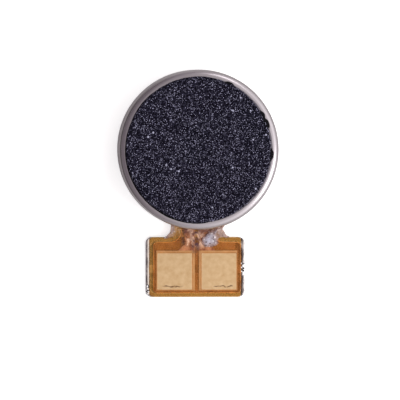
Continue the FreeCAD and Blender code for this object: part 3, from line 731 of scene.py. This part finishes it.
# %% The turning tree
turning, given = new_tree(
    "turned_piece",
    {
        "Rows": ("Int", 8),
        "Columns": ("Int", 240),
        "Notch half width": ("Float", 0.0),
        "Notch height": ("Float", 0.0),
        "Finish": ("Material", None),
    },
)
rows = given["Rows"]
columns = add(turning, "ShaderNodeMath", {0: given["Columns"], 1: 1.0}, operation="ADD")
grid = add(turning, "GeometryNodeMeshGrid", {"Vertices X": columns, "Vertices Y": rows})
index = add(turning, "GeometryNodeInputIndex")
row = add(turning, "ShaderNodeMath", {0: index, 1: rows}, operation="MODULO")
column = add(turning, "ShaderNodeMath", {0: index, 1: rows}, operation="DIVIDE")
column = add(turning, "ShaderNodeMath", {0: column}, operation="FLOOR")
step = add(turning, "ShaderNodeMath", {0: math.tau, 1: given["Columns"]}, operation="DIVIDE")
angle = add(turning, "ShaderNodeMath", {0: column, 1: step}, operation="MULTIPLY")
corner = {"Geometry": given["Geometry"], "Value": add(turning, "GeometryNodeInputPosition"), "Index": row}
corner = add(turning, "GeometryNodeSampleIndex", corner, data_type="FLOAT_VECTOR").outputs["Value"]
about = {"Vector": corner, "Center": (0, 0, 0), "Axis": (0, 0, 1), "Angle": angle}
turned = add(turning, "ShaderNodeVectorRotate", about, rotation_type="AXIS_ANGLE")
print("turning tree so far:", len(turning.nodes), "nodes")

# %% The notch, and the end of the turning tree
xyz = add(turning, "ShaderNodeSeparateXYZ", {0: turned}).outputs
aside = add(turning, "ShaderNodeMath", {0: xyz["X"]}, operation="ABSOLUTE")
beside = add(turning, "ShaderNodeMath", {0: aside, 1: given["Notch half width"]}, operation="LESS_THAN")
front = add(turning, "ShaderNodeMath", {0: xyz["Y"], 1: 0.0}, operation="LESS_THAN")
inside = add(turning, "ShaderNodeMath", {0: beside, 1: front}, operation="MULTIPLY")
least = add(turning, "ShaderNodeMath", {0: inside, 1: given["Notch height"]}, operation="MULTIPLY")
height = add(turning, "ShaderNodeMath", {0: xyz["Z"], 1: least}, operation="MAXIMUM")
final = add(turning, "ShaderNodeCombineXYZ", {0: xyz["X"], 1: xyz["Y"], 2: height})
placed = add(turning, "GeometryNodeSetPosition", {"Geometry": grid, "Position": final})
joined = add(turning, "GeometryNodeMergeByDistance", {"Geometry": placed, "Distance": 1e-4})
close_tree(turning, joined, given["Finish"])


# %% Turning a profile
def turn(name, profile, material, slot, columns, notch=(0.0, 0.0)):
    """A closed profile of (radius, height) corners, each perhaps with a rounding, turned about the axis."""
    outline = rounded([(*corner, 0)[:3] for corner in profile], steps=7)
    line = bpy.data.meshes.new("profile")
    line.from_pydata([(p[0], 0, p[1]) for p in [*outline, outline[0]]], [], [])
    mesh = grow(
        turning,
        line,
        Rows=len(outline) + 1,
        Columns=columns,
        Notch_half_width=notch[0],
        Notch_height=notch[1],
        Finish=material,
    )
    bm = to_editable(mesh)
    bmesh.ops.dissolve_degenerate(bm, dist=1e-5, edges=bm.edges[:])
    bmesh.ops.recalc_face_normals(bm, faces=bm.faces[:])
    return finish_piece(name, to_mesh(bm), [material], smooth_below=35)


# %% [markdown]
# ## The can
#
# The cover is drawn from 0.2 mm sheet, so its shoulder is rounded outside and inside. The last turn of
# the profile, at the foot, has the small radius that trimming leaves. It rides on the case, and stands
# for the CAD cover, whose faceted shoulder would break up the reflections.

# %% Can
low, high = span("cover")
can_r, can_top = high.x, high.z
shaft_hole, wall, notch = 0.40, 0.20, (1.42, 0.40)
cover = turn(
    "cover_drawn",
    [
        (shaft_hole, can_top, 0.02),
        (can_r, can_top, 0.45),
        (can_r, 0.90),
        (can_r, 0.40),
        (can_r, 0.20),
        (can_r, 0.0, 0.04),
        (can_r - wall, 0.0, 0.02),
        (can_r - wall, 0.20),
        (can_r - wall, 0.40),
        (can_r - wall, can_top - wall, 0.25),
        (shaft_hole, can_top - wall),
    ],
    can_steel,
    "can_steel",
    columns=360,
    notch=notch,
)
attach(cover, "case")
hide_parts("cover")

# %% [markdown]
# ## Shaft, magnet, washers and bush
#
# The shaft is ground bar with a small chamfer at each end. The others are rings with a rectangular
# section, so one loop turns them all from their CAD sizes: a plated magnet with tumbled edges, two
# punched nylon washers with sharp bores, and a pressed bush.

# %% Shaft
low, high = span("shaft")
shaft_r, chamfer = high.x, 0.05
shaft = turn(
    "shaft_ground",
    [
        (0.0, 0.0),
        (shaft_r - chamfer, 0.0),
        (shaft_r, chamfer),
        (shaft_r, high.z - chamfer),
        (shaft_r - chamfer, high.z),
        (0, high.z),
    ],
    shaft_steel,
    "ground_steel",
    columns=96,
)
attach(shaft, "case")
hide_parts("shaft")

# %% Rings
rings = (  # node, name's ending, body, bore radius, rounding inside and outside, columns, finish, slot
    ("ring_magnet", "_plated", "case", 2.206, 0.05, 0.05, 160, nickel, "magnet_nickel"),
    ("lower_washer", "_turned", "case", 0.41, 0, 0.02, 72, nylon, "washer_nylon"),
    ("upper_washer", "_turned", "case", 0.41, 0, 0.02, 72, nylon, "washer_nylon"),
    ("bearing_bush", "_sintered", "rotor", 0.415, 0.03, 0.04, 96, bronze, "bush_bronze"),
)
for node, ending, body, bore, inner, outer, columns, material, slot in rings:
    low, high = span(node)
    section = [(bore, low.z, inner), (high.x, low.z, outer), (high.x, high.z, outer), (bore, high.z, inner)]
    ring = turn(node + ending, section, material, slot, columns)
    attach(ring, body)
    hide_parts(node)

# %% [markdown]
# ## Tape under the foam
#
# Double-sided tape is cut with the foam, and its soft acrylic creeps out under pressure. Each entry below
# is one place where it shows past the foam: the direction in degrees, half its width in degrees, and
# how far it has crept. Together they leave a thin black line on the left and short black marks on the
# right.

# %% Tape
low, high = span("foam_adhesive")
creep = [
    (29, 2.5, 0.165), (21, 4, 0.18), (-4, 4, 0.17), (65, 3.5, 0.15),
    (0, 85, 0.085), (205, 50, 0.14), (248, 30, 0.14), (145, 22, 0.10),
]
cut_back = 0.03
tape_edge = []
for k in range(360):
    out = max(d * max(0.0, 1 - ((k - a + 180) % 360 - 180) ** 2 / w**2) ** 0.3 for a, w, d in creep)
    a = math.radians(k)
    out += 0.015 * noise.noise((math.cos(a) * 20, math.sin(a) * 20, 0.7))
    edge_r = high.x - cut_back + out
    tape_edge.append((edge_r * math.cos(a), edge_r * math.sin(a)))
tape_disc = finish_piece("foam_tape_disc", to_mesh(sheet_from([tape_edge], low.z, high.z)), [tape])
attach(tape_disc, "case")
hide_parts("foam_adhesive")

# %% [markdown]
# ## The foam pad
#
# A die cuts the pad from foam sheet and stamps it on the can. Its edge is never clean: the die drags
# cells along, tears a few out, and squeezes the rim a little lower than the middle. The seed mesh is a
# disc of even quads with a side that pulls in between its two rims, because a plain ring of wedges would
# crowd its cells at the centre. Geometry Nodes then sinks every point by a cell pattern. A cushion this
# small and stiff doesn't need a cloth simulation.

# %% The foam's torn edge
torn = [(68, 4, 0.06), (25, 8, 0.05), (-2, 5, 0.05), (0, 80, 0.08), (243, 10, 0.04), (-60, 40, 0.03)]
torn = [(math.radians(a), math.radians(w), d) for a, w, d in torn]


def edge_loss(angle):
    """How much the die has torn from the foam's edge in one direction: torn places, ragged all round."""
    loss = 0.0
    for middle, width, depth in torn:
        away = abs((angle - middle + math.pi) % math.tau - math.pi)
        loss += depth * max(0.0, 1 - (away / width) ** 2)
    rough = noise.fractal((math.cos(angle) * 9, math.sin(angle) * 9, 0.3), 1.0, 2.0, 4)
    fine = noise.noise((math.cos(angle) * 55, math.sin(angle) * 55, 2.1))
    return min(0.24, max(0.0, loss * (1 + 0.7 * fine) + 0.01 + 0.02 * rough + 0.018 * fine))


print("foam torn at 25 degrees by", round(edge_loss(math.radians(25)), 3), "mm")


# %% Foam seed mesh
def foam_top(radius, top, count):
    """The seed's upper points: a square grid pressed round into a disc, with its rim squeezed down."""
    points = []
    for i in range(count + 1):
        for j in range(count + 1):
            a, b = 2 * i / count - 1, 2 * j / count - 1
            reach = max(abs(a), abs(b))
            if reach == 0:
                angle = 0.0
            elif abs(a) >= abs(b):
                angle = math.pi / 4 * b / a + (math.pi if a < 0 else 0)
            else:
                angle = math.pi / 2 - math.pi / 4 * a / b + (math.pi if b < 0 else 0)
            whole = radius * reach
            place = whole - edge_loss(angle) * max(0.0, (reach - 0.9) / 0.1)
            drop = 0.05 * max(0.0, (whole - radius + 0.12) / 0.12) ** 2
            points.append((place * math.cos(angle), place * math.sin(angle), top - drop))
    return points


def foam_seed(radius, bottom, top, count=300):
    """A closed disc of nearly even quads: rounded rim, pulled-in side, torn places along the edge."""
    points = foam_top(radius, top, count)
    faces = []
    for i in range(count):
        for j in range(count):
            k = i * (count + 1) + j
            faces.append((k, k + count + 1, k + count + 2, k + 1))
    rim = [i * (count + 1) for i in range(count)]
    rim += [count * (count + 1) + j for j in range(count)]
    rim += [i * (count + 1) + count for i in range(count, 0, -1)]
    rim += list(range(count, 0, -1))
    above = rim
    for share in (0.2, 0.45, 0.7, 1.0):
        below = list(range(len(points), len(points) + len(rim)))
        pull = 1 - 0.006 * math.sin(math.pi * share)
        for k in rim:
            x, y, z = points[k]
            points.append((x * pull, y * pull, z + (bottom - z) * share))
        for n in range(len(rim)):
            m = (n + 1) % len(rim)
            faces.append((above[n], above[m], below[m], below[n]))
        above = below
    points.append((0, 0, bottom))
    faces += [(above[n], above[(n + 1) % len(rim)], len(points) - 1) for n in range(len(rim))]
    mesh = bpy.data.meshes.new("foam_seed")
    mesh.from_pydata(points, [], faces)
    bm = to_editable(mesh)
    bmesh.ops.recalc_face_normals(bm, faces=bm.faces[:])
    return to_mesh(bm)


foam_low, foam_high = span("foam_pad")
seed_mesh = foam_seed(foam_high.x, foam_low.z, foam_high.z)
print("foam seed:", len(seed_mesh.polygons), "faces")

# %% [markdown]
# ## Foam cells
#
# A Voronoi pattern suits foam, because its cells meet like bubbles that grew until they touched. Each
# point sinks along its normal, most in the middle of a cell, and noise keeps the cells from looking
# alike. The foot stays flat on its tape. The finest foams have cells of about 0.05 mm; these are 0.09 mm
# so that they show.

# %% The foam tree
foaming, given = new_tree(
    "foam_cells",
    {
        "Cell size": ("Float", 0.09),
        "Cell depth": ("Float", 0.04),
        "Bottom": ("Float", 0.0),
        "Seed": ("Int", 7),
        "Finish": ("Material", None),
    },
)
where = add(foaming, "GeometryNodeInputPosition")
scale = add(foaming, "ShaderNodeMath", {0: 1.0, 1: given["Cell size"]}, operation="DIVIDE")
shift = add(foaming, "ShaderNodeCombineXYZ", {2: given["Seed"]})
shifted = add(foaming, "ShaderNodeVectorMath", {0: where, 1: shift}, operation="ADD")
cell = add(foaming, "ShaderNodeTexVoronoi", {"Vector": shifted, "Scale": scale, "Randomness": 1.0})
pit = {0: cell.outputs["Distance"], 1: -1.0, 2: 1.0}
pit = add(foaming, "ShaderNodeMath", pit, operation="MULTIPLY_ADD", use_clamp=True)
fuzz = {"Vector": shifted, "Scale": scale, "Detail": 2.0, "Roughness": 0.7}
fuzz = add(foaming, "ShaderNodeTexNoise", fuzz).outputs["Fac"]
deep = add(foaming, "ShaderNodeMath", {0: pit, 1: fuzz}, operation="MULTIPLY")
deepest = add(foaming, "ShaderNodeMath", {0: given["Cell depth"], 1: -1.6}, operation="MULTIPLY")
sink = add(foaming, "ShaderNodeMath", {0: deep, 1: deepest}, operation="MULTIPLY")
normal = add(foaming, "GeometryNodeInputNormal").outputs[0]
inward = add(foaming, "ShaderNodeVectorMath", {0: normal, "Scale": sink}, operation="SCALE")
foot = add(foaming, "ShaderNodeMath", {0: given["Bottom"], 1: 0.01}, operation="ADD")
height = add(foaming, "ShaderNodeSeparateXYZ", {0: where}).outputs["Z"]
above = add(foaming, "ShaderNodeMath", {0: height, 1: foot}, operation="GREATER_THAN")
moved = {"Geometry": given["Geometry"], "Selection": above, "Offset": inward}
close_tree(foaming, add(foaming, "GeometryNodeSetPosition", moved), given["Finish"])

# %% Foam
foam_mesh = grow(
    foaming, seed_mesh, Cell_size=0.09, Cell_depth=0.04, Bottom=foam_low.z, Seed=7, Finish=foam_skin
)
foam = finish_piece("foam_pad_cells", foam_mesh, [foam_skin], smooth_below=70)
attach(foam, "case")
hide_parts("foam_pad")

# %% [markdown]
# ## The circuit's film
#
# One sheet of film runs from the can through the neck to the tab, so it is one piece across the joint.
# Its outline is the neck, the small flares that stop it tearing, and the tab's corners. Cuts across the
# neck give the bend somewhere to go. The coverlay has the same kind of outline, so one function draws
# both.

# %% Outline of the tab
def tab_outline(half, flare, shoulder_y, low, high, steps):
    """The neck, its two flares and the tab's rounded corners, from the can round and back to it."""
    corner_r = 0.22
    return rounded(
        [
            (-half, -can_r, 0),
            (-half, shoulder_y, flare),
            (low.x, shoulder_y, corner_r),
            (low.x, low.y, corner_r),
            (high.x, low.y, corner_r),
            (high.x, shoulder_y, corner_r),
            (half, shoulder_y, flare),
            (half, -can_r, 0),
        ],
        steps,
    )


# %% Film
low, high = span("circuit_film_tab")
tab_top_y, film_top = high.y, high.z
film_half, film_flare = 1.275, 0.45
film_outline = tab_outline(film_half, film_flare, tab_top_y, low, high, steps=8)
bm = sheet_from([film_outline], low.z, high.z, neck_cuts + tab_cuts, soften=0.012)
film_sheet = finish_piece("circuit_film_sheet", to_mesh(bm), [film])
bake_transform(film_sheet)
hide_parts("circuit_film_neck", "circuit_film_tab")

# %% [markdown]
# ## Copper
#
# Two traces come down the neck, and each widens into the top of its pad. They lie in the coverlay's
# adhesive, so they are cut as strips of their own thickness, with the same cuts across the neck as the film.

# %% Traces
low, high = span("circuit_traces_tab")
trace_in, trace_out, widening = 0.125, 0.775, 0.40
bm = bmesh.new()
for side in (-1, 1):
    strip = [
        (side * trace_in, -can_r),
        (side * trace_in, low.y),
        (side * (trace_out + widening), low.y),
        (side * trace_out, low.y + widening),
        (side * trace_out, -can_r),
    ]
    bm.from_mesh(to_mesh(sheet_from([strip], low.z, high.z, neck_cuts)))
traces = finish_piece("circuit_traces_sheet", to_mesh(bm), [copper])
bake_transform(traces)
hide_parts("circuit_traces_neck", "circuit_traces_tab")

# %% [markdown]
# ## Coverlay
#
# The coverlay is a second film, pressed on with adhesive after its windows are punched. The press
# squeezes a thin line of adhesive out along every edge. That bead catches the light and reads as a
# bright amber line, so it is real geometry: a small tree sweeps a round section along the outline and
# round both windows. The bead is joined to the sheet, so the two are one piece.

# %% Coverlay sheet
window_near, window_far = 0.28, 2.51
lap_below, lap_above, window_corner = 0.04, 0.155, 0.05


def pad_window(node, inset):
    """The outline of the coverlay's window over a contact pad, drawn in by an inset."""
    low, high = span(node)
    side = -1 if high.x < 0 else 1
    left, right = sorted([side * (window_near + inset), side * (window_far - inset)])
    bottom, top = low.y + lap_below + inset, high.y - lap_above - inset
    return rectangle(left, bottom, right, top, window_corner, steps=4)



low, high = span("circuit_coverlay_tab")
cover_half, cover_flare, bare_film = 0.975, 0.75, 0.33
cover_outline = tab_outline(cover_half, cover_flare, tab_top_y - bare_film, low, high, steps=12)
pads = ("contact_pad_left", "contact_pad_right")
windows = [pad_window(node, 0.0) for node in pads]
bm = sheet_from([cover_outline, *windows], low.z, high.z, neck_cuts + tab_cuts, soften=0.012)
sheet_mesh = to_mesh(bm)
print("coverlay sheet:", len(sheet_mesh.polygons), "faces")

# %% Squeezed-out adhesive bead
beading, given = new_tree("edge_bead", {"Bead radius": ("Float", 0.024), "Finish": ("Material", None)})
path = add(beading, "GeometryNodeMeshToCurve", {"Mesh": given["Geometry"]})
section = add(beading, "GeometryNodeCurvePrimitiveCircle", {"Resolution": 8, "Radius": given["Bead radius"]})
swept = {"Curve": path, "Profile Curve": section, "Fill Caps": True}
close_tree(beading, add(beading, "GeometryNodeCurveToMesh", swept), given["Finish"])

points, lines = [], []
for loop, closed in [(cover_outline, False), *((w, True) for w in windows)]:
    start = len(points)
    points += [(x, y, film_top + 0.02) for x, y in loop]
    lines += [(start + n, start + n + 1) for n in range(len(loop) - 1)]
    if closed:
        lines.append((start + len(loop) - 1, start))
paths = bpy.data.meshes.new("bead_paths")
paths.from_pydata(points, lines, [])
bead_mesh = grow(beading, paths, Bead_radius=0.024, Finish=squeeze_out)
print("bead:", len(bead_mesh.polygons), "faces")

# %% Coverlay with its bead
bm = to_editable(sheet_mesh)
sheet_faces = len(bm.faces)
bm.from_mesh(bead_mesh)
bm.faces.ensure_lookup_table()
for face in bm.faces[sheet_faces:]:
    face.material_index = 1
coverlay_sheet = finish_piece(
    "circuit_coverlay_sheet", to_mesh(bm), [coverlay, squeeze_out]
)
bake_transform(coverlay_sheet)
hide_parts("circuit_coverlay_neck", "circuit_coverlay_tab")

# %% [markdown]
# ## Contact pads
#
# Each pad is a copper plate whose rim lies under the coverlay. Only the plated face shows in its window.
# The plate is made with soft corners, so that its edges catch a thin line of light.

# %% Pads
plating, gap_round_it = 0.01, 0.01
for node in pads:
    low, high = span(node)
    plate = [(low.x, low.y), (high.x, low.y), (high.x, high.y), (low.x, high.y)]
    bm = sheet_from([plate], low.z, high.z - plating)
    bare_face = sheet_from([pad_window(node, gap_round_it)], high.z - plating, high.z, soften=0.006)
    bm.from_mesh(to_mesh(bare_face))
    pad = finish_piece(node + "_plated", to_mesh(bm), [gold])
    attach(pad, "tab")
    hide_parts(node)

# %% [markdown]
# ## Stiffener
#
# The stiffener is stamped from steel strip: the punch rolls its upper edge over and leaves the lower
# edge sharp. Its edge strips show beside the film, so the roll-over has several steps.

# %% Stiffener plate
low, high = span("stiffener_plate")
bm = sheet_from([rectangle(low.x, low.y, high.x, high.y, 0.38, steps=10)], low.z, high.z)
soften_top(bm, high.z, 0.07, segments=5)
top_faces = [f for f in bm.faces if f.normal.z > 0.999]
bmesh.ops.inset_region(bm, faces=top_faces, thickness=0.02)
stiffener = finish_piece("stiffener_stamped", to_mesh(bm), [strip_steel])
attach(stiffener, "tab")
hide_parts("stiffener_plate")

# %% [markdown]
# ## Glue
#
# A robot puts a dot of clear glue in each corner of the neck, and the right one ran over the film. Glue
# has no straight edges, so each CAD solid is only the start: it is remeshed into even small quads,
# relaxed until its edges are round, and given slight lumps. Above the film it also swirls a little, and
# the thick drop leans to the right, the way it ran. It crosses the joint.

# %% Remeshing a CAD solid
def remeshed(node, voxel=0.022):
    """A CAD solid as even small quads, in millimetres, ready to edit."""
    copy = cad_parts[node].data.copy()
    copy.transform(Matrix.Scale(1 / MM, 4))
    bm = to_editable(copy)
    bmesh.ops.remove_doubles(bm, verts=bm.verts[:], dist=1e-4)
    holder = bpy.data.objects.new("melting", to_mesh(bm))
    scene.collection.objects.link(holder)
    remesh = holder.modifiers.new("remesh", "REMESH")
    remesh.mode = "VOXEL"
    remesh.voxel_size = voxel
    return to_editable(as_plain_mesh(holder))


# %% Glue beads
noise.seed_set(12)  # without a seed of its own, noise_vector starts from the clock


def run_over(place):
    """Where a point of the glue above the film ends up once the glue has swirled and run."""
    swirl = noise.noise_vector(Vector((place.x * 2.4, place.y * 2.4, 4.0)))
    fine = noise.noise_vector(Vector((place.x * 7.0, place.y * 7.0, 9.0)))
    place.xy += swirl.xy * 0.16 + fine.xy * 0.05
    run = max(0.0, place.y + 5.66)
    lean = 0.85 * min(1.0, max(0.0, (1.55 - place.x) / 0.4)) if place.x > 0 else 0.0
    place.xy += Vector((lean, 0.22)) * run


def melt(node, name):
    """Turns a CAD solid into a rounded, slightly lumpy bead of glue that lies across the neck."""
    bm = remeshed(node)
    for _ in range(5):
        bmesh.ops.smooth_vert(
            bm, verts=bm.verts[:], factor=0.5, use_axis_x=True, use_axis_y=True, use_axis_z=True
        )
    bm.normal_update()
    for vert in bm.verts:
        lump = noise.noise(vert.co * 3.5) * 0.5 + noise.noise(vert.co * 9.0) * 0.25
        vert.co += vert.normal * 0.03 * (lump + 0.3)
        if vert.co.z > film_top + 0.03:
            run_over(vert.co)
    bmesh.ops.recalc_face_normals(bm, faces=bm.faces[:])
    piece = finish_piece(name, to_mesh(bm), [glue], smooth_below=80)
    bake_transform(piece)
    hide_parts(node)


melt("neck_glue_left", "neck_glue_left_bead")
melt("neck_glue_right", "neck_glue_right_drop")

# %% [markdown]
# ## Coils
#
# Each coil is a fan-shaped winding of enamelled wire. A wire follows the same path many times, so this
# is a job for Geometry Nodes: the seed holds one loop for each turn outwards, the tree stacks copies of
# them in layers, and sweeps a round section along every one. The real wire is 0.05 mm thick; it is drawn
# over twice as thick, so that each coil stays light and its turns can be told apart.

# %% Winding tree
winding, given = new_tree(
    "coil_winding",
    {
        "Layers": ("Int", 8),
        "Layer step": ("Float", 0.12),
        "Bottom": ("Float", 0.0),
        "Wire radius": ("Float", 0.06),
        "Finish": ("Material", None),
    },
)
foot = add(winding, "ShaderNodeCombineXYZ", {2: given["Bottom"]})
rise = add(winding, "ShaderNodeCombineXYZ", {2: given["Layer step"]})
levels = {"Count": given["Layers"], "Start Location": foot, "Offset": rise}
levels = add(winding, "GeometryNodeMeshLine", levels)
loops = add(winding, "GeometryNodeMeshToCurve", {"Mesh": given["Geometry"]})
stack = add(winding, "GeometryNodeInstanceOnPoints", {"Points": levels, "Instance": loops})
laid = add(winding, "GeometryNodeRealizeInstances", {"Geometry": stack})
section = add(winding, "GeometryNodeCurvePrimitiveCircle", {"Resolution": 6, "Radius": given["Wire radius"]})
wires = add(winding, "GeometryNodeCurveToMesh", {"Curve": laid, "Profile Curve": section})
close_tree(winding, wires, given["Finish"])


# %% Coils
def coil_loop(inset, centre):
    """One turn of the fan-shaped coil, lying inset from its outside: two arcs joined by its two sides."""
    inner, outer, side = 1.45 + inset, 4.25 - inset, 0.12 + inset
    half_angle = math.radians(43.0)
    inner_half = half_angle - math.asin(side / inner)
    outer_half = half_angle - math.asin(side / outer)
    middle = math.radians(centre)
    loop = [(inner, middle + inner_half * (1 - k / 4)) for k in range(9)]
    loop += [(outer, middle + outer_half * (k / 9 - 1)) for k in range(19)]
    loop = [Vector((r * math.cos(a), r * math.sin(a))) for r, a in loop]
    for _ in range(2):
        pairs = list(zip(loop, loop[1:] + loop[:1]))
        loop = [p for a, b in pairs for p in (a.lerp(b, 0.25), a.lerp(b, 0.75))]
    return loop


wire_r, turns = 0.06, 6
for node, centre in (("coil_left", 137.0), ("coil_right", 43.0)):
    low, high = span(node)
    layers = int((high.z - low.z) / (2 * wire_r))
    points, lines = [], []
    for k in range(turns):
        loop = coil_loop(wire_r + 2 * wire_r * k, centre)
        start = len(points)
        points += [(p.x, p.y, 0) for p in loop]
        lines += [(start + n, start + (n + 1) % len(loop)) for n in range(len(loop))]
    seed_mesh = bpy.data.meshes.new("coil_turns")
    seed_mesh.from_pydata(points, lines, [])
    mesh = grow(
        winding,
        seed_mesh,
        Layers=layers,
        Layer_step=(high.z - low.z - 2 * wire_r) / (layers - 1),
        Bottom=low.z + wire_r,
        Wire_radius=wire_r,
        Finish=wire,
    )
    coil = finish_piece(node + "_wound", mesh, [wire], smooth_below=80)
    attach(coil, "rotor")
    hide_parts(node)

# %% [markdown]
# ## The pieces that keep their CAD shape
#
# Flat plates and small moulded pieces are right as the CAD model has them, so they only get a finish.

# %% Finishes for CAD pieces
finish_of = {
    "base_plate": can_steel,
    "circuit_adhesive": bond,
    "circuit_film_inner": film,
    "circuit_coverlay_inner": coverlay,
    "circuit_traces_inner": copper,
    "stiffener_adhesive": bond,
    "magnet_adhesive": bond,
    "rotor_board": board,
    "commutator_segments": gold,
    "coil_terminals": solder,
    "rotor_holder": resin,
    "counterweight": tungsten,
    "brush_foot_left": brush_metal,
    "brush_foot_right": brush_metal,
    "brush_arm_left": brush_metal,
    "brush_arm_right": brush_metal,
    "brush_solder_left": solder,
    "brush_solder_right": solder,
}
for node, material in finish_of.items():
    node_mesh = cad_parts[node].data
    node_mesh.materials.clear()
    node_mesh.materials.append(material)
unpainted = [n for n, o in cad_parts.items() if n not in finish_of and not o.hide_render]
print("CAD pieces with a finish:", len(finish_of), "without one:", unpainted)
